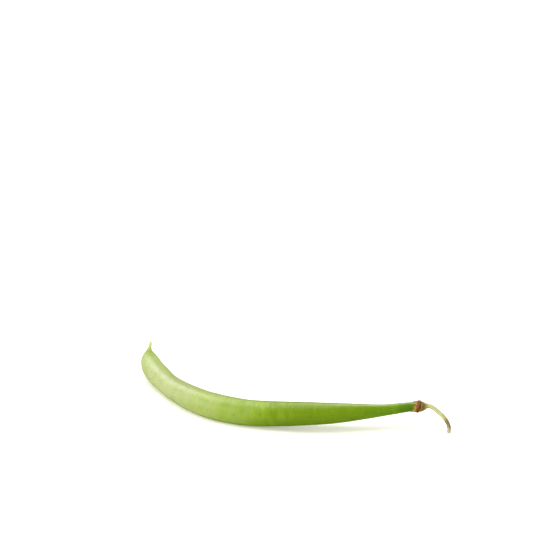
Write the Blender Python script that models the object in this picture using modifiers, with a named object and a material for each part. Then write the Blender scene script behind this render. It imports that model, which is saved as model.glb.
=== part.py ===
"""One fresh green bean (snap bean) as picked, lying on a table.

Metres, +Z up. The bean rests on the plane z = 0, with the origin under the middle of its bounding box
and +X pointing along its long straight stretch, from the beak's side to the stalk's side.

Three grown pieces, which meet end to end with a small gap:
    pod      the green pod, from its neck inside the calyx to the thin beak at the far end
    calyx    the dried brown cup with five lobes that sits round the pod's neck
    pedicel  the stalk, which swells where it bears the calyx and bends down to the table
"""

import math

import bmesh
import bpy
import numpy as np
from mathutils import Vector

MM = 0.001

# The pod's centre line, measured in millimetres along it from the end of the neck.
POD_LENGTH = 138.6
NECK_END = Vector((47.9, -26.3)) * MM  # where the pod ends in plan, inside the calyx
NECK_HEADING = math.radians(5.4)  # the pod sets off from the stalk's side this much towards -Y
# How sharply the pod turns: (distance along it, turn in degrees per millimetre).
BENDS = (
    (0, -0.3),
    (25, 0.58),
    (45, 0.32),
    (62, 0.63),
    (80, 1.54),
    (98, 0.6),
    (113, 0.25),
    (122, 1.58),
    (130, 3.03),
    (POD_LENGTH, -2.57),
)

# Half the pod's depth from seam to seam, at distances along it.
GIRTH = (
    (0, 1.15),
    (1.2, 1.48),
    (2.6, 1.58),
    (13, 2.0),
    (27, 3.17),
    (44, 4.18),
    (58, 4.65),
    (71, 4.93),
    (87, 4.76),
    (107, 4.27),
    (119, 4.33),
    (124.5, 3.99),
    (128.5, 3.03),
    (132, 1.45),
    (135, 0.62),
    (POD_LENGTH, 0.33),
)
NECK_SOCKET = 2.6  # length of the neck that the calyx holds
SHOULDER = 119  # where the full pod ends and the taper to the beak begins
# Width across the two cheeks as a share of the depth from seam to seam.
FLATNESS = ((0, 1.0), (20, 1.0), (60, 0.93), (SHOULDER, 0.93), (131.5, 0.8), (POD_LENGTH, 0.75))
SEAM_ROLL = math.radians(60)  # the upper seam faces up and 30 degrees towards the inside of the bend

# How the pod lies: it rests from one distance to the other, and lifts clear at both ends.
REST_START = 68.8
REST_END = 98
NECK_RISE = 7.44
BEAK_RISE = 5.68
LIFT_SOFTNESS = 0.08  # how gradually the underside leaves the table on the neck's side
REST_SINK = 0.15  # depth of the flat that its weight presses on its underside

# Calyx, along the neck's axis from its base.
CALYX_LENGTH = 2.8
CALYX_WALL = 0.3
CALYX_BASE_RADIUS = 1.7
CALYX_BELLY_RADIUS = 2.2
CALYX_BELLY_START = 0.9
CALYX_BELLY_END = 1.7
CALYX_RIM_RADIUS = 2.1
CALYX_RIM_WALL = 0.18
CALYX_CORNER = 0.2  # how far the inside is rounded between its floor and its wall
CALYX_LOBES = 5
NOTCH_WIDTH = 0.84  # rounded gap between two lobes
NOTCH_DEPTH = 0.92
NOTCH_REACH = 1.6  # from inside the wall to outside it

GAP = 0.3  # between neighbouring pieces

# Pedicel: the route that its middle follows from the calyx's base, and its radius there.
PEDICEL_ROUTE = (
    (0.1, 0.0, 0.1, 1.5),
    (0.6, 0.05, 0.1, 1.33),
    (1.2, 0.0, 0.2, 1.02),
    (1.9, -0.15, 0.25, 0.85),
    (3.0, -0.3, 0.0, 0.77),
    (4.3, -0.5, -0.8, 0.77),
    (5.9, -0.9, -2.1, 0.78),
    (7.5, -1.5, -3.5, 0.77),
    (8.8, -2.5, -5.1, 0.72),
    (9.4, -3.7, -6.4, 0.66),
    (9.4, -4.7, -7.3, 0.6),
    (9.1, -5.5, -8.0, 0.57),
)

# How finely the pieces are divided.
POD_SIDES = 20
NECK_RINGS = 4
BODY_RINGS = 44
TAIL_RINGS = 18
CALYX_SIDES = 30
FINE = np.linspace(0, POD_LENGTH, 1401)  # close distances for following the centre line


def through(stations, s):
    """The values at distances s of a smooth curve through (distance, value) stations."""
    at, value = np.array(stations, float).T
    slope = np.gradient(value, at)
    k = np.clip(np.searchsorted(at, s, side="right") - 1, 0, len(at) - 2)
    width = at[k + 1] - at[k]
    t = (s - at[k]) / width
    start = (1 + 2 * t) * (1 - t) ** 2 * value[k] + t * (1 - t) ** 2 * width * slope[k]
    end = t * t * (3 - 2 * t) * value[k + 1] - t * t * (1 - t) * width * slope[k + 1]
    return start + end


def running_total(rate, s):
    """The running total of a rate along s, by the trapezium rule."""
    return np.concatenate(([0], np.cumsum((rate[1:] + rate[:-1]) / 2 * np.diff(s))))


def pod_spine(s):
    """The middle of the pod at distances s, which start at 0, as an array of points in metres."""
    half_height = through(GIRTH, np.minimum(s, SHOULDER)) * np.hypot(
        math.sin(SEAM_ROLL), math.cos(SEAM_ROLL) * through(FLATNESS, np.minimum(s, SHOULDER))
    )
    to_neck = np.clip(1 - s / REST_START, 0, 1)
    to_beak = np.clip((s - REST_END) / (POD_LENGTH - REST_END), 0, 1)
    eased = np.hypot(to_neck, LIFT_SOFTNESS) - LIFT_SOFTNESS
    clearance = NECK_RISE * eased / (math.hypot(1, LIFT_SOFTNESS) - LIFT_SOFTNESS) + BEAK_RISE * to_beak**2
    z = half_height + clearance - REST_SINK
    level = np.sqrt(1 - np.gradient(z, s) ** 2)
    turn = np.radians(np.interp(s, *np.array(BENDS).T))
    heading = running_total(turn, s) - NECK_HEADING
    x = -running_total(np.cos(heading) * level, s)
    y = running_total(np.sin(heading) * level, s)
    return np.stack((x, y, z), axis=1) * MM + np.array((NECK_END.x, NECK_END.y, 0))


def pod_rings():
    """The distance and middle of each ring of the pod, and its inward and upward directions."""
    rings = np.concatenate(
        (
            np.linspace(0, NECK_SOCKET, NECK_RINGS),
            np.linspace(NECK_SOCKET, SHOULDER, BODY_RINGS)[1:],
            np.linspace(SHOULDER, POD_LENGTH, TAIL_RINGS)[1:],
        )
    )
    spine = pod_spine(FINE)
    tangent = np.gradient(spine, FINE, axis=0)
    middle, ahead = (
        np.stack([np.interp(rings, FINE, line[:, axis]) for axis in range(3)], axis=1)
        for line in (spine, tangent)
    )
    inward = np.cross(ahead, (0, 0, 1))
    inward /= np.linalg.norm(inward, axis=1)[:, None]
    upward = np.cross(inward, ahead)
    upward /= np.linalg.norm(upward, axis=1)[:, None]
    return rings, middle, inward, upward


def new_object(name, mesh, collection):
    item = bpy.data.objects.new(name, mesh)
    collection.objects.link(item)
    return item


def mesh_from(builder, name):
    """A mesh from a bmesh, with its faces turned outwards."""
    bmesh.ops.recalc_face_normals(builder, faces=builder.faces)
    mesh = bpy.data.meshes.new(name)
    builder.to_mesh(mesh)
    builder.free()
    return mesh


def make_pod(collection):
    """A loft from the round neck through the oval pod to the thin, blade-like beak."""
    rings, middle, inward, upward = pod_rings()
    depth = through(GIRTH, rings) * MM
    width = depth * through(FLATNESS, rings)
    builder = bmesh.new()
    loops = []
    for i in range(len(rings)):
        loop = []
        for j in range(POD_SIDES):
            angle = 2 * math.pi * j / POD_SIDES
            along_seam = depth[i] * math.cos(angle)
            across = width[i] * math.sin(angle)
            side = along_seam * math.cos(SEAM_ROLL) - across * math.sin(SEAM_ROLL)
            rise = along_seam * math.sin(SEAM_ROLL) + across * math.cos(SEAM_ROLL)
            loop.append(builder.verts.new(middle[i] + side * inward[i] + rise * upward[i]))
        loops.append(loop)
    for one, other in zip(loops, loops[1:]):
        for j in range(POD_SIDES):
            k = (j + 1) % POD_SIDES
            builder.faces.new((one[j], one[k], other[k], other[j]))
    builder.faces.new(loops[0])
    builder.faces.new(loops[-1])
    return new_object("pod", mesh_from(builder, "pod"), collection)


def neck_axis():
    """Where the neck ends, and the direction from there out to the stalk."""
    spine = pod_spine(FINE)
    end, inside = Vector(spine[0]), Vector(spine[np.searchsorted(FINE, NECK_SOCKET)])
    return end, (end - inside).normalized()


def make_calyx(parts, cutters, base, axis):
    """A turned cup, open towards the pod, with rounded gaps cut between its lobes."""
    inside = CALYX_BELLY_RADIUS - CALYX_WALL
    outline = (
        (0, 0),
        (CALYX_BASE_RADIUS, 0),
        (CALYX_BELLY_RADIUS, CALYX_BELLY_START),
        (CALYX_BELLY_RADIUS, CALYX_BELLY_END),
        (CALYX_RIM_RADIUS, CALYX_LENGTH),
        (CALYX_RIM_RADIUS - CALYX_RIM_WALL, CALYX_LENGTH),
        (inside, CALYX_BELLY_END),
        (inside, CALYX_BELLY_START),
        (inside - CALYX_CORNER, CALYX_WALL + CALYX_CORNER),
        (inside - 2 * CALYX_CORNER, CALYX_WALL),
        (0, CALYX_WALL),
    )
    mesh = bpy.data.meshes.new("calyx")
    points = [(r * MM, 0, z * MM) for r, z in outline]
    mesh.from_pydata(points, [(i, i + 1) for i in range(len(points) - 1)], [])
    calyx = new_object("calyx", mesh, parts)
    calyx.location = base
    calyx.rotation_mode = "QUATERNION"
    calyx.rotation_quaternion = (-axis).to_track_quat("Z", "Y")
    turn = calyx.modifiers.new("turn", "SCREW")
    turn.steps = turn.render_steps = CALYX_SIDES
    turn.use_merge_vertices = True
    turn.merge_threshold = 0.00001
    turn.use_normal_calculate = True
    for i in range(CALYX_LOBES):
        angle = 2 * math.pi * (i + 0.5) / CALYX_LOBES
        bpy.ops.mesh.primitive_cylinder_add(vertices=12, radius=NOTCH_WIDTH / 2 * MM, depth=NOTCH_REACH * MM)
        notch = bpy.context.object
        notch.name = f"notch_{i + 1}"
        notch.rotation_euler = (0, math.pi / 2, angle)
        notch.location = Vector((math.cos(angle), math.sin(angle), 0)) * CALYX_RIM_RADIUS * MM
        notch.location.z = CALYX_LENGTH * MM
        notch.scale = (NOTCH_DEPTH / (NOTCH_WIDTH / 2), 1, 1)
        notch.parent = calyx
        keep_as_cutter(notch, cutters)
        cut(calyx, notch)
    return calyx


def make_pedicel(collection, start):
    """A tapered stalk swept along its route, thickest where it bears the calyx."""
    line = bpy.data.curves.new("pedicel_line", "CURVE")
    line.dimensions = "3D"
    line.bevel_depth = MM
    line.bevel_resolution = 4
    line.use_fill_caps = True
    line.resolution_u = 4
    spline = line.splines.new("BEZIER")
    spline.bezier_points.add(len(PEDICEL_ROUTE) - 1)
    for point, (x, y, z, radius) in zip(spline.bezier_points, PEDICEL_ROUTE):
        point.co = start + Vector((x, y, z)) * MM
        point.radius = radius
        point.handle_left_type = point.handle_right_type = "AUTO"
    sweep = new_object("pedicel_line", line, collection)
    bpy.context.view_layer.update()
    evaluated = sweep.evaluated_get(bpy.context.evaluated_depsgraph_get())
    builder = bmesh.new()
    builder.from_mesh(bpy.data.meshes.new_from_object(evaluated))
    bmesh.ops.remove_doubles(builder, verts=builder.verts, dist=0.00001)
    pedicel = new_object("pedicel", mesh_from(builder, "pedicel"), collection)
    pedicel.matrix_world = sweep.matrix_world
    bpy.data.objects.remove(sweep)
    return pedicel


def make_table_cutter(cutters):
    """A slab just below z = 0, which presses the flats that the bean rests on."""
    bpy.ops.mesh.primitive_cube_add(size=1)
    slab = bpy.context.object
    slab.name = "table_cutter"
    slab.scale = (0.2, 0.2, 0.01)
    slab.location = (0, 0, -0.005)
    keep_as_cutter(slab, cutters)
    return slab


def keep_as_cutter(item, cutters):
    """Moves an object to the cutters, where it isn't shown or rendered as a part."""
    for collection in list(item.users_collection):
        collection.objects.unlink(item)
    cutters.objects.link(item)
    item.hide_render = True
    item.display_type = "WIRE"


def cut(item, cutter):
    trim = item.modifiers.new(cutter.name, "BOOLEAN")
    trim.operation = "DIFFERENCE"
    trim.solver = "EXACT"
    trim.object = cutter


def finish(item, name, colour, roughness):
    """Gives a piece its material and smooth shading."""
    material = bpy.data.materials.new(name)
    material.use_nodes = True
    shader = material.node_tree.nodes["Principled BSDF"]
    shader.inputs["Base Color"].default_value = (*colour, 1)
    shader.inputs["Roughness"].default_value = roughness
    shader.inputs["Metallic"].default_value = 0
    item.data.materials.append(material)
    item.data.shade_smooth()
    item.data.set_sharp_from_angle(angle=math.radians(40))


def main():
    for item in list(bpy.data.objects):
        bpy.data.objects.remove(item)
    parts = bpy.data.collections.new("green_bean")
    cutters = bpy.data.collections.new("cutters")
    bpy.context.scene.collection.children.link(parts)
    bpy.context.scene.collection.children.link(cutters)

    neck_end, axis = neck_axis()
    calyx_base = neck_end + axis * (GAP + CALYX_WALL) * MM
    pedicel_start = calyx_base + axis * GAP * MM

    pod = make_pod(parts)
    calyx = make_calyx(parts, cutters, calyx_base, axis)
    pedicel = make_pedicel(parts, pedicel_start)
    table = make_table_cutter(cutters)
    cut(pod, table)
    cut(pedicel, table)

    finish(pod, "bean_skin", (0.24, 0.42, 0.06), 0.45)
    finish(calyx, "dried_calyx", (0.26, 0.11, 0.04), 0.75)
    finish(pedicel, "green_stalk", (0.52, 0.55, 0.22), 0.6)


main()
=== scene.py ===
"""The looks of one fresh green bean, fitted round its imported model.

Three pieces replace the three plain solids: the pod with its seams, seed swellings and fine creases,
the crumpled dry calyx round its neck, and the ribbed stalk. The bean's lengths are in millimetres, and
become metres where a mesh is made. The floor, the lights and the camera are in metres.
"""

import math

import bpy
import numpy as np
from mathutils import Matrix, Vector, noise


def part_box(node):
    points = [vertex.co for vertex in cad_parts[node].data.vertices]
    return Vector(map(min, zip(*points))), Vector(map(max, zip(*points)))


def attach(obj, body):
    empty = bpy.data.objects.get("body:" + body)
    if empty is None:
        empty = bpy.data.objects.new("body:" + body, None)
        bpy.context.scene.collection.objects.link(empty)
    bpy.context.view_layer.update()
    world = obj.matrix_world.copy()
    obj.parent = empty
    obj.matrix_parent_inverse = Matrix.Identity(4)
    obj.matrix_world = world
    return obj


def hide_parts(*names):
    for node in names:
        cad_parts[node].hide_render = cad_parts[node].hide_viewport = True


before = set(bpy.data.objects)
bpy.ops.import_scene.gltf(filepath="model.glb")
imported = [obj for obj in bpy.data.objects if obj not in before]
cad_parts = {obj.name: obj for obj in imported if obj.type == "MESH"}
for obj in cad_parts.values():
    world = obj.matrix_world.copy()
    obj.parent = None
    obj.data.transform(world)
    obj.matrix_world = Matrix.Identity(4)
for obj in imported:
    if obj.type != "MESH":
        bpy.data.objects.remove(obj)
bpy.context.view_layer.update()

MM = 0.001

# ------------------------------------------------------------ sizes that the solid model has too

# The pod's centre line, measured along it from the end of the neck.
POD_LENGTH = 138.6
NECK_HEADING = math.radians(5.4)  # the pod sets off from the stalk's side this much towards -Y
# How sharply the pod turns: (distance along it, turn in degrees per millimetre).
BENDS = (
    (0, -0.3),
    (25, 0.58),
    (45, 0.32),
    (62, 0.63),
    (80, 1.54),
    (98, 0.6),
    (113, 0.25),
    (122, 1.58),
    (130, 3.03),
    (POD_LENGTH, -2.57),
)
# Half the pod's depth from seam to seam, at distances along it.
GIRTH = (
    (0, 1.15),
    (1.2, 1.48),
    (2.6, 1.58),
    (13, 2.0),
    (27, 3.17),
    (44, 4.18),
    (58, 4.65),
    (71, 4.93),
    (87, 4.76),
    (107, 4.27),
    (119, 4.33),
    (124.5, 3.99),
    (128.5, 3.03),
    (132, 1.45),
    (135, 0.62),
    (POD_LENGTH, 0.33),
)
NECK_SOCKET = 2.6  # length of the neck that the calyx holds
SHOULDER = 119  # where the full pod ends and the taper to the beak begins
# Width across the two cheeks as a share of the depth from seam to seam.
FLATNESS = ((0, 1.0), (20, 1.0), (60, 0.93), (SHOULDER, 0.93), (131.5, 0.8), (POD_LENGTH, 0.75))
SEAM_ROLL = math.radians(60)  # the upper seam faces up and 30 degrees towards the inside of the bend

# How the pod lies: it rests from one distance to the other, and lifts clear at both ends.
REST_START = 68.8
REST_END = 98
NECK_RISE = 7.44
BEAK_RISE = 5.68
LIFT_SOFTNESS = 0.08  # how gradually the underside leaves the surface on the neck's side
REST_SINK = 0.15  # depth of the flat that its weight presses on its underside

GAP = 0.3  # between neighbouring pieces
CALYX_WALL = 0.3

# The stalk's route from the calyx's base, with its radius. The first point, inside the calyx, is only
# in the looks: the solid starts at the second.
PEDICEL_ROUTE = (
    (-0.8, -0.08, 0.12, 1.3),
    (0.1, 0.0, 0.1, 1.5),
    (0.6, 0.05, 0.1, 1.33),
    (1.2, 0.0, 0.2, 1.02),
    (1.9, -0.15, 0.25, 0.85),
    (3.0, -0.3, 0.0, 0.77),
    (4.3, -0.5, -0.8, 0.77),
    (5.9, -0.9, -2.1, 0.78),
    (7.5, -1.5, -3.5, 0.77),
    (8.8, -2.5, -5.1, 0.72),
    (9.4, -3.7, -6.4, 0.66),
    (9.4, -4.7, -7.3, 0.6),
    (9.1, -5.5, -8.0, 0.57),
)

# ------------------------------------------------------------ sizes of the finer shape

OUTLINE_STEPS = 2000  # how finely the pod's rule is followed to place the pod
NECK_STEPS = 1400  # how finely it is followed to find the way that the neck points
POD_STEP = 0.18  # between the pod's rings
POD_SIDES = 118
TIP_ROUNDING = 0.3  # length over which the beak's tip rounds off
TIP_RINGS = 10
TIP_CLOSED = 0.998  # how far along the rounding its last ring is shaped, so that its cap has a size
POD_SEEDS = ((20, 0), (36, 1), (112, 1), (124, 0))  # how strongly the seeds show, along the pod
POD_KEEL = ((100, 0), (122, 1), (131, 1), (136, 0))  # how strongly the seams are pinched, along the pod
TROUGH_WIDTH = 2.5  # of the trough that a seam's cord lies in, in widths of the cord
TROUGH_SHARE = 0.55  # the trough's depth as a share of the cord's height
RELIEF_PER_RADIUS = 0.35  # relief grows with the pod's radius, and is full from 2.9 mm up

POD_BELLY = (  # how much fuller the pod is along its lower seam than the solid
    (0, 0.05),
    (10, 0.15),
    (21, 0.25),
    (30, 0.4),
    (43, 0.33),
    (56, 0.05),
    (66, 0),
)
# How much fuller the pod is round its beak than the solid.
BEAK_FULLNESS = ((129, 0), (132.5, 0.12), (135, 0.18), (137, 0.26), (POD_LENGTH, 0.14))

STALK_STEP = 0.1
STALK_SIDES = 48
STALK_ROUNDING = 0.18  # length over which its broken end rounds off
STALK_OPEN = 0.02  # share of the rounding left at its last ring, so that its cap has a size
TORN_LENGTH = 1.2  # of its ragged end

CALYX_FORM = (  # the cup's radius at distances from its base, from its grip to its lobes' tips
    (-0.3, 1.5),
    (0.0, 1.6),
    (0.35, 1.75),
    (0.7, 1.78),
    (1.0, 1.95),
    (1.3, 2.18),
    (1.7, 2.12),
    (2.1, 1.92),
    (2.5, 1.9),
    (3.1, 1.84),
    (4.1, 1.82),
    (5.0, 1.9),
)
CALYX_ROWS = 64
CALYX_COLUMNS = 200
CALYX_THICKNESS = 0.14
CALYX_SLANT = 0.4  # the folds lean towards the stalk by this much above, and away from it below
CALYX_GRIP = 0.8  # length over which it grips the stalk, and the crumpling sets in
LOBE_START = 3.0  # distance of the gaps between the lobes from the cup's base
LOBE_LENGTHS = (1.25, 0.3, 0.8, 1.0, 1.2)  # in their order round the calyx
LOBE_TURN = math.radians(34)  # how far the gap before the first lobe is turned down from the near side
LOBE_CURL = (0.05, 0.08, 0.0, 0.12, 0.06)  # how far each lobe's tip stands off the neck
LOBE_BLUNTNESS = 0.75  # power of the half wave that shapes a lobe; a smaller one is blunter
LOBE_SHARE = 0.85  # of its length that a lobe has on average
LOBE_SPREAD = 0.3  # how far that share wanders round the calyx
RAG_DEPTH = 0.16  # of the ragged edge
WRINKLES = 11  # round the calyx
WRINKLE_DEPTH = 0.07
WRINKLE_STRAY = 2.5  # how far the wrinkles stray sideways, in radians of their wave
CRUMPLE_DEPTH = 0.13
CREASE_DEPTH = 0.05

# The calyx's noise is read round a circle about as wide as it is. Each rate says how fast, per mm: round
# the circle, or round it and along the calyx.
NOISE_RADIUS = 2
SPREAD_RATE = 0.8
RAG_RATE = 4.5
STRAY_RATES = (1, 0.7)
CRUMPLE_RATES = (1.3, 1.6)
CREASE_RATES = (4, 4)

# ------------------------------------------------------------ sizes of the setting

FLOOR_HALF = 3.0
CAMERA_PLACE = (-0.00756, -0.52855, 0.24477)
CAMERA_TILT = math.radians(70)  # from straight down, so it looks down 20 degrees


def through(stations, s):
    """The values at distances s of a smooth curve through (distance, value) stations."""
    at, value = np.array(stations, float).T
    slope = np.gradient(value, at)
    k = np.clip(np.searchsorted(at, s, side="right") - 1, 0, len(at) - 2)
    width = at[k + 1] - at[k]
    t = (s - at[k]) / width
    start = (1 + 2 * t) * (1 - t) ** 2 * value[k] + t * (1 - t) ** 2 * width * slope[k]
    end = t * t * (3 - 2 * t) * value[k + 1] - t * t * (1 - t) * width * slope[k + 1]
    return start + end


def running_total(rate, s):
    """The running total of a rate along s, by the trapezium rule."""
    return np.concatenate(([0], np.cumsum((rate[1:] + rate[:-1]) / 2 * np.diff(s))))


def unit(vectors):
    """The same directions with a length of 1."""
    return vectors / np.linalg.norm(vectors, axis=-1, keepdims=True)


def between(stations, s):
    """The values at distances s of a straight-edged course through (distance, value) stations."""
    return np.interp(s, *np.array(stations, float).T)


def pod_spine(s):
    """The pod's middle at distances s, starting over x = y = 0 at the neck's end."""
    body = np.minimum(s, SHOULDER)
    half_height = through(GIRTH, body) * np.hypot(
        math.sin(SEAM_ROLL), math.cos(SEAM_ROLL) * through(FLATNESS, body)
    )
    to_neck = np.clip(1 - s / REST_START, 0, 1)
    to_beak = np.clip((s - REST_END) / (POD_LENGTH - REST_END), 0, 1)
    eased = np.hypot(to_neck, LIFT_SOFTNESS) - LIFT_SOFTNESS
    clearance = NECK_RISE * eased / (math.hypot(1, LIFT_SOFTNESS) - LIFT_SOFTNESS) + BEAK_RISE * to_beak**2
    z = half_height + clearance - REST_SINK
    level = np.sqrt(1 - np.gradient(z, s) ** 2)
    turn = np.radians(between(BENDS, s))
    heading = running_total(turn, s) - NECK_HEADING
    x = -running_total(np.cos(heading) * level, s)
    y = running_total(np.sin(heading) * level, s)
    return np.stack((x, y, z), axis=1)


def directions(middle):
    """The sideways and upward directions across a line of middles."""
    ahead = unit(np.gradient(middle, axis=0))
    sideways = unit(np.cross(ahead, (0, 0, 1)))
    return sideways, np.cross(sideways, ahead)


# ------------------------------------------------------------ nodes


def linear(code):
    """A hex colour code as linear red, green, blue and alpha."""
    parts = [int(code[i : i + 2], 16) / 255 for i in (1, 3, 5)]
    return (*(p / 12.92 if p <= 0.04045 else ((p + 0.055) / 1.055) ** 2.4 for p in parts), 1)


def add(tree, kind, inputs=None, **settings):
    """Adds a node with its settings. An input is given a value, or is linked to a socket or a node."""
    node = tree.nodes.new(kind)
    for name, value in settings.items():
        setattr(node, name, value)
    for key, value in (inputs or {}).items():
        if isinstance(value, bpy.types.Node):
            value = value.outputs[0]
        if isinstance(value, bpy.types.NodeSocket):
            tree.links.new(value, node.inputs[key])
        else:
            node.inputs[key].default_value = value
    return node


def new_material(name):
    """An empty material with its Principled shader."""
    material = bpy.data.materials.new(name)
    material.use_nodes = True
    tree = material.node_tree
    tree.nodes.clear()
    shader = add(tree, "ShaderNodeBsdfPrincipled")
    add(tree, "ShaderNodeOutputMaterial", {"Surface": shader})
    return material, tree, shader


def ground_colour(tree, along, length, stops):
    """A colour that changes along a piece, from (distance, hex colour) stops."""
    share = add(tree, "ShaderNodeMath", {0: along, 1: length}, operation="DIVIDE")
    ramp = add(tree, "ShaderNodeValToRGB", {0: share})
    elements = ramp.color_ramp.elements
    elements[0].color = linear(stops[0][1])
    elements[1].color = linear(stops[-1][1])
    for distance, code in stops[1:-1]:
        elements.new(distance / length).color = linear(code)
    return ramp.outputs["Color"]


def patches(tree, place, stretch, size, low, high, strength):
    """A cloudy mask from 0 to strength: noise of a size in mm, stretched, kept where it is over low."""
    spread = add(tree, "ShaderNodeVectorMath", {0: place, 1: stretch}, operation="MULTIPLY")
    clouds = add(tree, "ShaderNodeTexNoise", {"Vector": spread, "Scale": 1 / size, "Detail": 3.0})
    return add(
        tree,
        "ShaderNodeMapRange",
        {"Value": clouds, "From Min": low, "From Max": high, "To Max": strength},
    )


def stained(tree, colour, stains):
    """A colour with stains laid over it, each a (mask, hex colour) pair."""
    for mask, code in stains:
        mix = add(tree, "ShaderNodeMix", {"Factor": mask, 6: colour, 7: linear(code)}, data_type="RGBA")
        colour = mix.outputs[2]
    return colour


# ------------------------------------------------------------ materials


def bean_skin():
    """Bean pod skin, grown: thin, waxy and softly glossy over wet flesh.

    It is deep green at the neck and pales towards the beak, most of all on the cheek that faces up and
    outwards; the rest of the skin there is greener and darker, partly its own colour and partly painted
    shade. Along its lower seam near the neck it is painted darker as shade. Light sinks in a little and
    gives soft shading; fibres, scuffs with a painted highlight on the upper side, cloudy patches and dark
    specks break the colour up. The finest are drawn at 0.4 mm, coarser than real ones, so that they show.
    """
    material, tree, shader = new_material("bean_skin")
    skin = add(tree, "ShaderNodeAttribute", attribute_name="skin_mm").outputs["Vector"]
    seamwards, cheekwards, along = add(tree, "ShaderNodeSeparateXYZ", {0: skin}).outputs
    off_seam = add(tree, "ShaderNodeMath", {0: cheekwards}, operation="ABSOLUTE")

    # The ground colour changes unevenly along the pod, up to 7 mm sooner or later.
    spread = add(tree, "ShaderNodeVectorMath", {0: skin, 1: (0.3, 0.3, 1)}, operation="MULTIPLY")
    streaks = add(tree, "ShaderNodeTexNoise", {"Vector": spread, "Scale": 1 / 3.0, "Detail": 3.0})
    wander = add(
        tree,
        "ShaderNodeMapRange",
        {"Value": streaks, "From Min": 0.3, "From Max": 0.7, "To Min": -7.0, "To Max": 7.0},
    )
    colour = ground_colour(
        tree,
        add(tree, "ShaderNodeMath", {0: along, 1: wander}, operation="ADD"),
        POD_LENGTH,
        (
            (0, "#4a7402"),
            (14, "#668b03"),
            (30, "#6a8802"),
            (50, "#6c8804"),
            (58, "#809b1c"),
            (66, "#879f3b"),
            (75, "#91a54b"),
            (83, "#99a65e"),
            (92, "#9da970"),
            (104, "#a6ad7c"),
            (124, "#a3ad76"),
            (POD_LENGTH, "#b4be70"),
        ),
    )

    # Marks all over it.
    clouds = patches(tree, skin, stretch=(1, 1, 0.7), size=3.6, low=0.5, high=0.7, strength=0.22)
    pales = patches(tree, skin, stretch=(0.5, 0.5, 1), size=2.8, low=0.52, high=0.7, strength=0.14)
    fibres = patches(tree, skin, stretch=(1, 1, 0.04), size=0.45, low=0.48, high=0.7, strength=0.1)
    mottle = patches(tree, skin, stretch=(1, 1, 0.8), size=0.42, low=0.5, high=0.7, strength=0.2)

    # Pale dashes run round its upper seam, past the neck and well short of the beak: partly scuffs, partly
    # a painted highlight where the upper side catches the light.
    scuffs_and_highlight = patches(tree, skin, stretch=(0.2, 0.2, 1), size=0.6, low=0.46, high=0.7, strength=0.16)
    past_neck = add(tree, "ShaderNodeMapRange", {"Value": along, "From Min": 10.0, "From Max": 40.0})
    off_beak = add(tree, "ShaderNodeMapRange", {"Value": along, "From Min": 100.0, "From Max": 84.0})
    lit_upper_side = add(tree, "ShaderNodeMapRange", {"Value": seamwards, "From Min": 0.3, "From Max": 2.8})
    for mask in (past_neck, off_beak, lit_upper_side):
        scuffs_and_highlight = add(tree, "ShaderNodeMath", {0: scuffs_and_highlight, 1: mask}, operation="MULTIPLY")

    # Dark specks are about 1.4 mm apart, in some parts only.
    off_dot = add(tree, "ShaderNodeTexVoronoi", {"Vector": skin, "Scale": 1 / 1.4}).outputs["Distance"]
    dots = add(
        tree, "ShaderNodeMapRange", {"Value": off_dot, "From Min": 0.22, "From Max": 0.1, "To Max": 0.6}
    )
    some_parts = patches(tree, skin, stretch=(1, 1, 0.5), size=5.0, low=0.47, high=0.55, strength=1.0)
    specks = add(tree, "ShaderNodeMath", {0: dots, 1: some_parts}, operation="MULTIPLY")

    # Painted shade: on the neck's side the skin is darker along its lower seam, the side turned to the
    # floor.
    painted_underside_shade = add(
        tree, "ShaderNodeMapRange", {"Value": seamwards, "From Min": -1.8, "From Max": -3.6, "To Max": 0.55}
    )
    neck_side = add(tree, "ShaderNodeMapRange", {"Value": along, "From Min": 72.0, "From Max": 50.0})
    belly = add(tree, "ShaderNodeMath", {0: painted_underside_shade, 1: neck_side}, operation="MULTIPLY")

    # From the bend to the beak the skin is greener and darker, but for the cheek that faces up and
    # outwards: partly the skin's own colour, partly painted shade on the side turned from the light.
    greener_and_shaded = add(
        tree, "ShaderNodeMapRange", {"Value": cheekwards, "From Min": 3.4, "From Max": 1.8, "To Max": 0.66}
    )
    towards_beak = add(tree, "ShaderNodeMapRange", {"Value": along, "From Min": 88.0, "From Max": 116.0})
    before_beak = add(tree, "ShaderNodeMapRange", {"Value": along, "From Min": 133.5, "From Max": 128.0})
    for mask in (towards_beak, before_beak):
        greener_and_shaded = add(tree, "ShaderNodeMath", {0: greener_and_shaded, 1: mask}, operation="MULTIPLY")

    # The seams are greener lines, the calyx leaves a brownish collar, and the beak's tip is dry.
    on_seam = add(
        tree, "ShaderNodeMapRange", {"Value": off_seam, "From Min": 0.5, "From Max": 0.16, "To Max": 0.3}
    )
    collar = add(
        tree, "ShaderNodeMapRange", {"Value": along, "From Min": 4.4, "From Max": 3.4, "To Max": 0.35}
    )
    dry_tip = add(
        tree,
        "ShaderNodeMapRange",
        {"Value": along, "From Min": POD_LENGTH - 1.4, "From Max": POD_LENGTH - 0.2, "To Max": 0.6},
    )

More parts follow.
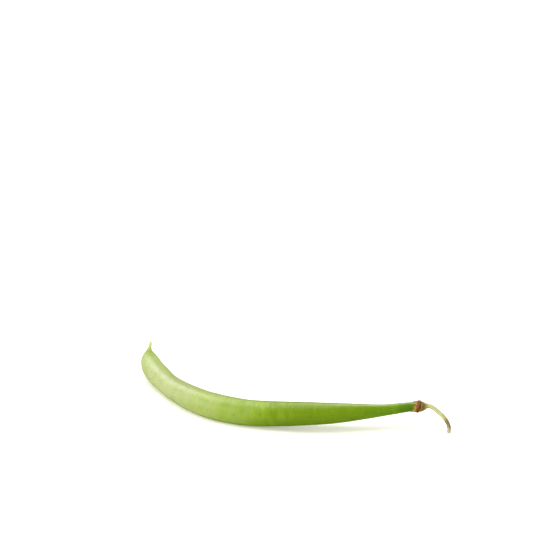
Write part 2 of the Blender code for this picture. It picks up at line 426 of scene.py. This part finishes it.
    colour = stained(
        tree,
        colour,
        (
            (clouds, "#567c0c"),
            (pales, "#a8b420"),
            (fibres, "#9aaa18"),
            # pale dashes: partly scuffs, partly a painted highlight on the upper side
            (scuffs_and_highlight, "#c8cc80"),
            (mottle, "#4e6e14"),
            (specks, "#4a4c14"),
            # greener cheek: partly its own colour, partly painted shade
            (greener_and_shaded, "#87a210"),
            # painted shade on the underside near the neck
            (belly, "#5a7a08"),
            (on_seam, "#6f9a2c"),
            (collar, "#8c8222"),
            (dry_tip, "#a9854a"),
        ),
    )
    tree.links.new(colour, shader.inputs["Base Color"])
    gloss = add(
        tree, "ShaderNodeMapRange", {"Value": mottle, "From Max": 0.3, "To Min": 0.38, "To Max": 0.5}
    )
    tree.links.new(gloss.outputs[0], shader.inputs["Roughness"])
    relief = add(tree, "ShaderNodeMath", {0: mottle, 1: fibres}, operation="ADD")
    bump = add(tree, "ShaderNodeBump", {"Height": relief, "Distance": 0.05 * MM, "Strength": 0.6})
    tree.links.new(bump.outputs[0], shader.inputs["Normal"])
    shader.inputs["IOR"].default_value = 1.42
    shader.inputs["Specular IOR Level"].default_value = 0.28
    shader.inputs["Subsurface Weight"].default_value = 0.4
    shader.inputs["Subsurface Radius"].default_value = (1.0, 1.4, 0.35)
    shader.inputs["Subsurface Scale"].default_value = MM
    return material


def dried_calyx():
    """Leaf tissue of the calyx, dried on the plant: thin, papery and matt.

    Its lobes bleach to straw, and the folds behind them turn a dark red-brown. Its grain of 0.16 mm is
    coarser than real tissue, so that it shows.
    """
    material, tree, shader = new_material("dried_calyx")
    along = add(tree, "ShaderNodeAttribute", attribute_name="from_base_mm").outputs["Fac"]
    spot = add(tree, "ShaderNodeTexCoord").outputs["Object"]
    place = add(tree, "ShaderNodeVectorMath", {0: spot, "Scale": 1 / MM}, operation="SCALE")
    reach = CALYX_FORM[-1][0] - CALYX_FORM[0][0]
    colour = ground_colour(
        tree,
        add(tree, "ShaderNodeMath", {0: along, 1: CALYX_FORM[0][0]}, operation="SUBTRACT"),
        reach,
        (
            (0.0, "#6f5e12"),
            (0.8, "#8a7426"),
            (1.35, "#a08444"),
            (1.55, "#6a3206"),
            (1.7, "#5e2b04"),
            (2.3, "#703a0a"),
            (2.75, "#8a4f1c"),
            (3.1, "#a47e40"),
            (3.4, "#b89a50"),
            (4.1, "#9c8c3c"),
            (reach, "#94803a"),
        ),
    )
    stains = patches(tree, place, stretch=(1, 1, 1), size=0.7, low=0.48, high=0.66, strength=0.5)
    bleaching = patches(tree, place, stretch=(0.35, 1, 1), size=0.28, low=0.5, high=0.68, strength=0.22)
    flecks = patches(tree, place, stretch=(1, 1, 1), size=0.22, low=0.55, high=0.7, strength=0.5)
    colour = stained(tree, colour, ((stains, "#57300f"), (bleaching, "#c09a50"), (flecks, "#4a2a10")))
    tree.links.new(colour, shader.inputs["Base Color"])
    grain = patches(tree, place, stretch=(0.4, 1, 1), size=0.16, low=0.3, high=0.7, strength=1.0)
    bump = add(tree, "ShaderNodeBump", {"Height": grain, "Distance": 0.06 * MM, "Strength": 0.7})
    tree.links.new(bump.outputs[0], shader.inputs["Normal"])
    rough = add(tree, "ShaderNodeMapRange", {"Value": grain, "To Min": 0.62, "To Max": 0.85})
    tree.links.new(rough.outputs[0], shader.inputs["Roughness"])
    shader.inputs["IOR"].default_value = 1.45
    shader.inputs["Specular IOR Level"].default_value = 0.35
    return material


def green_stalk():
    """Stalk of a bean, grown: fibrous, ribbed and barely glossy.

    It is olive where it swells under the calyx, then pale green, and brown where it broke off and dried.
    Its fibres of 0.2 mm are coarser than real ones, so that they show.
    """
    material, tree, shader = new_material("green_stalk")
    stalk = add(tree, "ShaderNodeAttribute", attribute_name="stalk_mm").outputs["Vector"]
    along = add(tree, "ShaderNodeSeparateXYZ", {0: stalk}).outputs["Z"]
    length = stalk_length()
    colour = ground_colour(
        tree,
        along,
        length,
        (
            (0.0, "#6b5410"),
            (1.4, "#85711a"),
            (2.3, "#a59a48"),
            (3.2, "#bcbe86"),
            (9.0, "#c0c58a"),
            (length - 6.0, "#b8b27a"),
            (length - 4.8, "#8a683e"),
            (length - 2.2, "#553c22"),
            (length - 1.0, "#a89a70"),
            (length, "#a9a690"),
        ),
    )
    greens = patches(tree, stalk, stretch=(1, 1, 0.08), size=0.3, low=0.48, high=0.7, strength=0.45)
    browns = patches(tree, stalk, stretch=(1, 1, 0.3), size=0.4, low=0.56, high=0.68, strength=0.5)
    fibres = patches(tree, stalk, stretch=(1, 1, 0.05), size=0.22, low=0.52, high=0.7, strength=0.4)
    colour = stained(tree, colour, ((greens, "#8ea23c"), (browns, "#7c5a2c"), (fibres, "#e3e3b4")))
    tree.links.new(colour, shader.inputs["Base Color"])
    grain = patches(tree, stalk, stretch=(1, 1, 0.08), size=0.18, low=0.3, high=0.7, strength=1.0)
    bump = add(tree, "ShaderNodeBump", {"Height": grain, "Distance": 0.05 * MM, "Strength": 0.6})
    tree.links.new(bump.outputs[0], shader.inputs["Normal"])
    shader.inputs["Roughness"].default_value = 0.58
    shader.inputs["IOR"].default_value = 1.42
    shader.inputs["Subsurface Weight"].default_value = 0.15
    shader.inputs["Subsurface Radius"].default_value = (0.8, 1.0, 0.3)
    shader.inputs["Subsurface Scale"].default_value = 0.6 * MM
    shader.inputs["Sheen Weight"].default_value = 0.15
    return material


# ------------------------------------------------------------ growing a piece along its path


def path_mesh(name, middle, numbers, vectors):
    """A line of vertices in metres, carrying a number or a vector for each ring that grows on it."""
    mesh = bpy.data.meshes.new(name)
    mesh.from_pydata(middle * MM, [(i, i + 1) for i in range(len(middle) - 1)], [])
    for label, values in numbers.items():
        mesh.attributes.new(label, "FLOAT", "POINT").data.foreach_set("value", values)
    for label, values in vectors.items():
        mesh.attributes.new(label, "FLOAT_VECTOR", "POINT").data.foreach_set("vector", values.ravel())
    return mesh


def new_tree(name, sizes):
    """A geometry tree with a path, a number of sides, named sizes and a material to fill in."""
    tree = bpy.data.node_groups.new(name, "GeometryNodeTree")
    interface = tree.interface
    interface.new_socket("Geometry", in_out="OUTPUT", socket_type="NodeSocketGeometry")
    interface.new_socket("Path", in_out="INPUT", socket_type="NodeSocketGeometry")
    interface.new_socket("Sides", in_out="INPUT", socket_type="NodeSocketInt")
    for size in sizes:
        interface.new_socket(size, in_out="INPUT", socket_type="NodeSocketFloat")
    interface.new_socket("Finish", in_out="INPUT", socket_type="NodeSocketMaterial")
    return tree, add(tree, "NodeGroupInput").outputs


def sweep(tree, given):
    """Rings swept down the path, with each point's angle round its ring, its cosine and its sine."""
    line = add(tree, "GeometryNodeMeshToCurve", {0: given["Path"]})
    ring = add(tree, "GeometryNodeCurvePrimitiveCircle", {"Resolution": given["Sides"], "Radius": MM})
    marked = add(
        tree,
        "GeometryNodeStoreNamedAttribute",
        {"Geometry": ring, "Name": "around", "Value": add(tree, "GeometryNodeSplineParameter")},
    )
    tube = add(tree, "GeometryNodeCurveToMesh", {"Curve": line, "Profile Curve": marked, "Fill Caps": True})
    around = add(tree, "GeometryNodeInputNamedAttribute", {"Name": "around"})
    angle = add(tree, "ShaderNodeMath", {0: around, 1: 2 * math.pi}, operation="MULTIPLY")
    return (
        tube,
        angle,
        add(tree, "ShaderNodeMath", {0: angle}, operation="COSINE"),
        add(tree, "ShaderNodeMath", {0: angle}, operation="SINE"),
    )


def rough_noise(tree, place, stretch, size, depth):
    """Noise of a size in mm, stretched, as a height of up to depth either way."""
    spread = add(tree, "ShaderNodeVectorMath", {0: place, 1: stretch}, operation="MULTIPLY")
    scale = add(tree, "ShaderNodeMath", {0: 1.0, 1: size}, operation="DIVIDE")
    clouds = add(tree, "ShaderNodeTexNoise", {"Vector": spread, "Scale": scale, "Detail": 3.0})
    centred = add(tree, "ShaderNodeMath", {0: clouds, 1: 0.5}, operation="SUBTRACT")
    doubled = add(tree, "ShaderNodeMath", {0: centred, 1: 2.0}, operation="MULTIPLY")
    return add(tree, "ShaderNodeMath", {0: doubled, 1: depth}, operation="MULTIPLY")


def placed(tree, given, tube, aside, above, label, straight):
    """Moves each ring's points out from the path's middle and finishes the mesh.

    They are marked with the places that they would have on a straight piece, which the finish follows.
    """
    middle, sideways, upward = (
        add(tree, "GeometryNodeInputNamedAttribute", {"Name": name}, data_type="FLOAT_VECTOR")
        for name in ("middle", "sideways", "upward")
    )
    spot = middle
    for direction, reach in ((sideways, aside), (upward, above)):
        metres = add(tree, "ShaderNodeMath", {0: reach, 1: MM}, operation="MULTIPLY")
        offset = add(tree, "ShaderNodeVectorMath", {0: direction, "Scale": metres}, operation="SCALE")
        spot = add(tree, "ShaderNodeVectorMath", {0: spot, 1: offset}, operation="ADD")
    # No point is let below the surface at a height of 0, and none is moved sideways.
    resting = add(tree, "ShaderNodeVectorMath", {0: spot, 1: (-1.0, -1.0, 0.0)}, operation="MAXIMUM")
    shaped = add(tree, "GeometryNodeSetPosition", {"Geometry": tube, "Position": resting})
    mapped = add(
        tree,
        "GeometryNodeStoreNamedAttribute",
        {"Geometry": shaped, "Name": label, "Value": straight},
        data_type="FLOAT_VECTOR",
    )
    outward = add(tree, "GeometryNodeFlipFaces", {"Mesh": mapped})
    smooth = add(tree, "GeometryNodeSetShadeSmooth", {"Geometry": outward})
    whole = add(tree, "GeometryNodeRealizeInstances", {"Geometry": smooth})
    dressed = add(tree, "GeometryNodeSetMaterial", {"Geometry": whole, "Material": given["Finish"]})
    add(tree, "NodeGroupOutput", {0: dressed})


def grown(name, line, tree, values):
    """Runs a geometry tree on a path with its named inputs, and returns the plain mesh as an object."""
    path = bpy.data.objects.new(name + "_path", line)
    bpy.context.scene.collection.objects.link(path)
    modifier = path.modifiers.new("grow", "NODES")
    modifier.node_group = tree
    sockets = {item.name: item.identifier for item in tree.interface.items_tree if item.in_out == "INPUT"}
    for label, value in values.items():
        modifier[sockets[label]] = value
    evaluated = path.evaluated_get(bpy.context.evaluated_depsgraph_get())
    mesh = bpy.data.meshes.new_from_object(evaluated)
    mesh.name = name
    path.modifiers.remove(modifier)
    bpy.data.objects.remove(path)
    return bpy.data.objects.new(name, mesh)


def hand_over(piece, node):
    """Adds a finished piece to the scene, in place of its plain solid."""
    bpy.context.scene.collection.objects.link(piece)
    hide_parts(node)
    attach(piece, "root")


# ------------------------------------------------------------ the pod


def pod_shift():
    """What to add to the pod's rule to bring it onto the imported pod."""
    s = np.linspace(0, POD_LENGTH, OUTLINE_STEPS)
    middle = pod_spine(s)
    sideways, upward = directions(middle)
    reach = through(GIRTH, s) * np.hypot(math.cos(SEAM_ROLL), math.sin(SEAM_ROLL) * through(FLATNESS, s))
    edges = np.concatenate((middle + reach[:, None] * sideways, middle - reach[:, None] * sideways))
    low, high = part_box("pod")
    box_middle = (np.array(low) + np.array(high)) / 2 / MM
    shift = box_middle - (edges.min(0) + edges.max(0)) / 2
    return shift * (1, 1, 0)


def pod_path(shift):
    """The pod's middle as a line of vertices, each with its ring's sizes and directions."""
    tip_start = POD_LENGTH - TIP_ROUNDING
    rounding = POD_LENGTH - TIP_ROUNDING * (1 - np.sin(np.linspace(0, math.pi / 2, TIP_RINGS)))
    s = np.concatenate((np.arange(0, tip_start - POD_STEP / 2, POD_STEP), rounding))
    middle = pod_spine(s) + shift
    sideways, upward = directions(middle)
    into_tip = np.clip((s - tip_start) / TIP_ROUNDING, 0, TIP_CLOSED)
    depth = (through(GIRTH, s) + between(BEAK_FULLNESS, s)) * np.sqrt(1 - into_tip**2)
    numbers = {
        "along": s,
        "depth": depth,
        "width": depth * through(FLATNESS, s),
        "seeds": between(POD_SEEDS, s),
        "keel": between(POD_KEEL, s),
        "belly": between(POD_BELLY, s),
    }
    vectors = {"middle": middle * MM, "sideways": sideways, "upward": upward}
    return path_mesh("pod_path", middle, numbers, vectors)


def pod_tree():
    """Grows the pod: rings down its path, swollen by seeds, seamed on two sides and finely creased."""
    tree, given = new_tree(
        "grow_pod",
        (
            "Seam Roll",
            "Seam Height",
            "Seam Width",
            "Keel Height",
            "Seed Swell",
            "Seed Spacing",
            "First Seed",
            "Lump Depth",
            "Lump Size",
            "Crease Depth",
            "Crease Spacing",
        ),
    )
    tube, _, to_seam, to_cheek = sweep(tree, given)
    along, depth, width, seeds, keel, belly = (
        add(tree, "GeometryNodeInputNamedAttribute", {"Name": label})
        for label in ("along", "depth", "width", "seeds", "keel", "belly")
    )
    seam_reach = add(tree, "ShaderNodeMath", {0: depth, 1: to_seam}, operation="MULTIPLY")
    off_seam = add(tree, "ShaderNodeMath", {0: width, 1: to_cheek}, operation="MULTIPLY")
    skin = add(tree, "ShaderNodeCombineXYZ", {0: seam_reach, 1: off_seam, 2: along})

    # Each seam is a low cord in a wider, shallow trough.
    widths_off = add(tree, "ShaderNodeMath", {0: off_seam, 1: given["Seam Width"]}, operation="DIVIDE")
    squared = add(tree, "ShaderNodeMath", {0: widths_off, 1: widths_off}, operation="MULTIPLY")
    fall = add(tree, "ShaderNodeMath", {0: squared, 1: -1.0}, operation="MULTIPLY")
    cord = add(tree, "ShaderNodeMath", {0: fall}, operation="EXPONENT")
    wide_fall = add(tree, "ShaderNodeMath", {0: fall, 1: 1 / TROUGH_WIDTH**2}, operation="MULTIPLY")
    trough = add(tree, "ShaderNodeMath", {0: wide_fall}, operation="EXPONENT")
    lowered = add(tree, "ShaderNodeMath", {0: trough, 1: TROUGH_SHARE}, operation="MULTIPLY")
    ridge = add(tree, "ShaderNodeMath", {0: cord, 1: lowered}, operation="SUBTRACT")
    seam = add(tree, "ShaderNodeMath", {0: ridge, 1: given["Seam Height"]}, operation="MULTIPLY")

    # Towards the beak the seams are pinched into keels.
    pinch = add(tree, "ShaderNodeMath", {0: trough, 1: keel}, operation="MULTIPLY")
    keels = add(tree, "ShaderNodeMath", {0: pinch, 1: given["Keel Height"]}, operation="MULTIPLY")

    # Towards the neck the pod is fuller along its lower seam.
    downwards = add(tree, "ShaderNodeMath", {0: to_seam, 1: -1.0}, operation="MULTIPLY")
    lower_half = add(tree, "ShaderNodeMath", {0: downwards, 1: 0.0}, operation="MAXIMUM")
    bellied = add(tree, "ShaderNodeMath", {0: lower_half, 1: belly}, operation="MULTIPLY")

    # The seeds swell the two cheeks at even distances.
    past_first = add(tree, "ShaderNodeMath", {0: along, 1: given["First Seed"]}, operation="SUBTRACT")
    turns = add(tree, "ShaderNodeMath", {0: past_first, 1: given["Seed Spacing"]}, operation="DIVIDE")
    turned = add(tree, "ShaderNodeMath", {0: turns, 1: 2 * math.pi}, operation="MULTIPLY")
    wave = add(tree, "ShaderNodeMath", {0: turned}, operation="COSINE")
    cheek = add(tree, "ShaderNodeMath", {0: to_cheek}, operation="ABSOLUTE")
    on_cheek = add(tree, "ShaderNodeMath", {0: wave, 1: cheek}, operation="MULTIPLY")
    shown = add(tree, "ShaderNodeMath", {0: on_cheek, 1: seeds}, operation="MULTIPLY")
    swelling = add(tree, "ShaderNodeMath", {0: shown, 1: given["Seed Swell"]}, operation="MULTIPLY")

    # The skin is a little lumpy all over, with fine creases round it. Relief fades where the pod is thin.
    lumps = rough_noise(tree, skin, (1, 1, 0.5), given["Lump Size"], given["Lump Depth"])
    creases = rough_noise(tree, skin, (0.25, 0.25, 1), given["Crease Spacing"], given["Crease Depth"])
    relief = seam
    for layer in (keels, bellied, swelling, lumps, creases):
        relief = add(tree, "ShaderNodeMath", {0: relief, 1: layer}, operation="ADD")
    growing = add(tree, "ShaderNodeMath", {0: depth, 1: RELIEF_PER_RADIUS}, operation="MULTIPLY")
    fading = add(tree, "ShaderNodeMath", {0: growing, 1: 1.0}, operation="MINIMUM")
    relief = add(tree, "ShaderNodeMath", {0: relief, 1: fading}, operation="MULTIPLY")

    # Each point's reach towards the seam and the cheek is turned by the roll of the seams.
    deep = add(tree, "ShaderNodeMath", {0: depth, 1: relief}, operation="ADD")
    wide = add(tree, "ShaderNodeMath", {0: width, 1: relief}, operation="ADD")
    seamwards = add(tree, "ShaderNodeMath", {0: deep, 1: to_seam}, operation="MULTIPLY")
    cheekwards = add(tree, "ShaderNodeMath", {0: wide, 1: to_cheek}, operation="MULTIPLY")
    flat = add(tree, "ShaderNodeCombineXYZ", {0: seamwards, 1: cheekwards})
    rolled = add(
        tree,
        "ShaderNodeVectorRotate",
        {"Vector": flat, "Angle": given["Seam Roll"]},
        rotation_type="Z_AXIS",
    )
    across = add(tree, "ShaderNodeSeparateXYZ", {0: rolled}).outputs
    placed(tree, given, tube, across["X"], across["Y"], "skin_mm", skin)
    return tree


def make_pod(shift):
    """The pod, grown in one piece from its neck to its beak."""
    values = {
        "Sides": POD_SIDES,
        "Seam Roll": SEAM_ROLL,
        "Seam Height": 0.12,
        "Seam Width": 0.42,
        "Keel Height": 0.12,
        "Seed Swell": 0.09,
        "Seed Spacing": 11.5,
        "First Seed": 32.0,
        "Lump Depth": 0.16,
        "Lump Size": 8.0,
        "Crease Depth": 0.03,
        "Crease Spacing": 0.9,
        "Finish": bean_skin(),
    }
    hand_over(grown("bean_pod", pod_path(shift), pod_tree(), values), "pod")


# ------------------------------------------------------------ the calyx


def neck_frame(shift):
    """Where the calyx's base is, and the directions from there out to the stalk, sideways and up."""
    spine = pod_spine(np.linspace(0, POD_LENGTH, NECK_STEPS + 1)) + shift
    out = unit(spine[0] - spine[round(NECK_SOCKET / POD_LENGTH * NECK_STEPS)])
    sideways = unit(np.cross(out, (0, 0, 1)))
    base = spine[0] + out * (GAP + CALYX_WALL)
    return base, out, sideways, np.cross(sideways, out)


def lobe_at(angle):
    """Which lobe a direction round the calyx is in, and how near the lobe's middle, from 0 to 1."""
    turn = (angle + LOBE_TURN) / (2 * math.pi) * len(LOBE_LENGTHS)
    return int(turn) % len(LOBE_LENGTHS), math.sin(math.pi * (turn % 1)) ** LOBE_BLUNTNESS


def rim_at(angle, ring):
    """How far the calyx's ragged edge is from its base."""
    lobe, tooth = lobe_at(angle)
    evenness = LOBE_SHARE + LOBE_SPREAD * noise.noise(ring * SPREAD_RATE)
    return LOBE_START + LOBE_LENGTHS[lobe] * tooth * evenness + RAG_DEPTH * noise.noise(ring * RAG_RATE)


def folds_at(angle, ring, t):
    """How far wrinkles, crumples and creases lift a point of the calyx that is t from its base."""

    def noise_at(rates):
        return noise.noise(Vector((ring.x * rates[0], ring.y * rates[0], t * rates[1])))

    wrinkle = WRINKLE_DEPTH * math.sin(WRINKLES * angle + WRINKLE_STRAY * noise_at(STRAY_RATES))
    crumple = CRUMPLE_DEPTH * noise_at(CRUMPLE_RATES) + CREASE_DEPTH * noise_at(CREASE_RATES)
    return wrinkle + crumple


def make_calyx(shift):
    """A crumpled sheet wrapped round the neck, with a ring of ragged lobes that lie along the pod."""
    base, out, sideways, upward = neck_frame(shift)
    first = CALYX_FORM[0][0]
    points = []
    from_base = []
    for row in range(CALYX_ROWS):
        for column in range(CALYX_COLUMNS):
            angle = 2 * math.pi * column / CALYX_COLUMNS
            ring = Vector((math.cos(angle), math.sin(angle), 0)) * NOISE_RADIUS
            t = first + (rim_at(angle, ring) - first) * row / (CALYX_ROWS - 1)
            lobe, tooth = lobe_at(angle)
            curl = LOBE_CURL[lobe] * max(0, t - LOBE_START) ** 2 * tooth
            setting_in = min(1, max(0, (t - first) / CALYX_GRIP))
            radius = float(through(CALYX_FORM, np.array(t)))
            radius += setting_in * folds_at(angle, ring, t) + curl
            slant = CALYX_SLANT * math.sin(angle) * min(1, max(0, t))
            across = math.cos(angle) * sideways + math.sin(angle) * upward
            points.append((base - out * (t - slant) + across * radius) * MM)
            from_base.append(t)
    faces = []
    for row in range(CALYX_ROWS - 1):
        for column in range(CALYX_COLUMNS):
            beside = (column + 1) % CALYX_COLUMNS
            here, above = row * CALYX_COLUMNS, (row + 1) * CALYX_COLUMNS
            faces.append((here + column, above + column, above + beside, here + beside))
    mesh = bpy.data.meshes.new("bean_calyx")
    mesh.from_pydata(points, [], faces)
    mesh.attributes.new("from_base_mm", "FLOAT", "POINT").data.foreach_set("value", from_base)
    mesh.shade_smooth()
    mesh.materials.append(dried_calyx())
    calyx = bpy.data.objects.new("bean_calyx", mesh)
    wall = calyx.modifiers.new("wall", "SOLIDIFY")
    wall.thickness = CALYX_THICKNESS * MM
    wall.offset = -1
    hand_over(calyx, "calyx")


# ------------------------------------------------------------ the stalk


def stalk_line():
    """The stalk's middle from the calyx's base, its radius, and the distances along it, at even steps."""
    route = np.array(PEDICEL_ROUTE)
    chords = np.concatenate(([0], np.cumsum(np.linalg.norm(np.diff(route[:, :3], axis=0), axis=1))))
    s = np.linspace(0, chords[-1], round(chords[-1] / STALK_STEP))
    columns = [through(np.stack((chords, route[:, axis]), axis=1), s) for axis in range(4)]
    return np.stack(columns[:3], axis=1), columns[3], s


def stalk_length():
    """The stalk's length along its middle."""
    return stalk_line()[2][-1]


def stalk_path(shift):
    """The stalk's middle as a line of vertices, each with its ring's size and directions."""
    base, out, _, _ = neck_frame(shift)
    middle, radius, s = stalk_line()
    middle = middle + base + out * GAP
    sideways, upward = directions(middle)
    to_end = s[-1] - s
    radius = radius * np.sqrt(np.clip(to_end / STALK_ROUNDING, STALK_OPEN, 1))
    numbers = {"along": s, "thickness": radius, "torn": np.clip(1 - to_end / TORN_LENGTH, 0, 1)}
    vectors = {"middle": middle * MM, "sideways": sideways, "upward": upward}
    return path_mesh("stalk_path", middle, numbers, vectors)


def stalk_tree():
    """Grows the stalk: rings down its path, ribbed lengthwise and ragged where it broke off."""
    tree, given = new_tree(
        "grow_stalk",
        (
            "Ribs",
            "Rib Height",
            "Lump Depth",
            "Lump Size",
            "Tear Depth",
            "Tear Size",
        ),
    )
    tube, angle, cosine, sine = sweep(tree, given)
    along, radius, torn = (
        add(tree, "GeometryNodeInputNamedAttribute", {"Name": label})
        for label in ("along", "thickness", "torn")
    )
    x = add(tree, "ShaderNodeMath", {0: radius, 1: cosine}, operation="MULTIPLY")
    y = add(tree, "ShaderNodeMath", {0: radius, 1: sine}, operation="MULTIPLY")
    stalk = add(tree, "ShaderNodeCombineXYZ", {0: x, 1: y, 2: along})
    ribbed = add(tree, "ShaderNodeMath", {0: angle, 1: given["Ribs"]}, operation="MULTIPLY")
    wave = add(tree, "ShaderNodeMath", {0: ribbed}, operation="COSINE")
    ribs = add(tree, "ShaderNodeMath", {0: wave, 1: given["Rib Height"]}, operation="MULTIPLY")
    lumps = rough_noise(tree, stalk, (1, 1, 0.5), given["Lump Size"], given["Lump Depth"])
    tears = rough_noise(tree, stalk, (1, 1, 0.25), given["Tear Size"], given["Tear Depth"])
    tearing = add(tree, "ShaderNodeMath", {0: tears, 1: torn}, operation="MULTIPLY")
    relief = ribs
    for layer in (lumps, tearing):
        relief = add(tree, "ShaderNodeMath", {0: relief, 1: layer}, operation="ADD")
    share = add(tree, "ShaderNodeMath", {0: relief, 1: 1.0}, operation="ADD")
    aside = add(tree, "ShaderNodeMath", {0: x, 1: share}, operation="MULTIPLY")
    above = add(tree, "ShaderNodeMath", {0: y, 1: share}, operation="MULTIPLY")
    placed(tree, given, tube, aside, above, "stalk_mm", stalk)
    return tree


def make_stalk(shift):
    """The stalk, from inside the calyx to its broken end. Its depths are shares of its radius."""
    values = {
        "Sides": STALK_SIDES,
        "Ribs": 6.0,
        "Rib Height": 0.05,
        "Lump Depth": 0.14,
        "Lump Size": 1.6,
        "Tear Depth": 0.9,
        "Tear Size": 0.35,
        "Finish": green_stalk(),
    }
    hand_over(grown("bean_stalk", stalk_path(shift), stalk_tree(), values), "pedicel")


# ------------------------------------------------------------ floor, light and camera


def white_board():
    """Coated paper board, smooth and matt.

    It is a warm white and glows a little, which keeps shadows on it soft and pale.
    """
    material, _, shader = new_material("white_board")
    shader.inputs["Base Color"].default_value = linear("#f1f0eb")
    shader.inputs["Roughness"].default_value = 0.7
    shader.inputs["Specular IOR Level"].default_value = 0.2
    shader.inputs["Emission Color"].default_value = linear("#fffded")
    shader.inputs["Emission Strength"].default_value = 0.24
    return material


def make_floor():
    """The board that the bean lies on. It doesn't show in the skin's gloss."""
    corners = [(x * FLOOR_HALF, y * FLOOR_HALF, 0) for x, y in ((-1, -1), (1, -1), (1, 1), (-1, 1))]
    mesh = bpy.data.meshes.new("floor")
    mesh.from_pydata(corners, [], [(0, 1, 2, 3)])
    mesh.materials.append(white_board())
    floor = bpy.data.objects.new("floor", mesh)
    floor.visible_glossy = False
    bpy.context.scene.collection.objects.link(floor)


def add_softbox(name, place, size, power, tint=(1, 1, 1), shades=True, shines=True, aim=(0, 0, 0)):
    """A round light that isn't seen itself. It faces the bean, or what it is aimed at.

    It shades the bean, shines in its skin, or both.
    """
    data = bpy.data.lights.new(name, "AREA")
    data.shape = "DISK"
    data.size = size
    data.energy = power
    data.color = tint
    lamp = bpy.data.objects.new(name, data)
    lamp.location = place
    lamp.rotation_mode = "QUATERNION"
    lamp.rotation_quaternion = (Vector(aim) - Vector(place)).to_track_quat("-Z", "Y")
    lamp.visible_camera = False
    lamp.visible_diffuse = shades
    lamp.visible_glossy = shines
    bpy.context.scene.collection.objects.link(lamp)


def light_studio():
    """A white studio with soft light from above and the left, and sheets that only shine in the skin."""
    world = bpy.data.worlds.new("studio")
    world.use_nodes = True
    background = world.node_tree.nodes["Background"]
    background.inputs["Color"].default_value = (1, 0.99, 0.95, 1)
    background.inputs["Strength"].default_value = 0.68
    bpy.context.scene.world = world
    world.cycles_visibility.glossy = False
    add_softbox("top_softbox", (-0.1, -0.1, 0.9), size=0.7, power=4.9, shines=False)
    add_softbox("left_softbox", (-0.75, -0.25, 0.34), size=0.6, power=4.6)
    add_softbox("backdrop_softbox", (0, 1.1, 0.8), size=0.5, power=1.5, shines=False, aim=(0, 1.1, 0))
    add_softbox("back_sheet", (0.22, 0.7, 0.68), size=0.55, power=10.0, tint=(1, 0.93, 0.78), shades=False)
    add_softbox("overhead_sheet", (-0.35, 0.2, 0.92), size=0.9, power=8.0, shades=False)
    add_softbox("left_sheet", (-0.55, 0.5, 0.66), size=0.7, power=7.5, shades=False)
    bpy.context.scene.view_settings.view_transform = "Standard"


def place_camera():
    """A long lens that looks down a little on the bean's near side."""
    data = bpy.data.cameras.new("camera")
    data.lens = 100
    data.sensor_width = 36
    camera = bpy.data.objects.new("camera", data)
    camera.location = CAMERA_PLACE
    camera.rotation_euler = (CAMERA_TILT, 0, 0)
    bpy.context.scene.collection.objects.link(camera)
    bpy.context.scene.camera = camera


place_camera()
light_studio()
make_floor()
SHIFT = pod_shift()
make_pod(SHIFT)
make_calyx(SHIFT)
make_stalk(SHIFT)
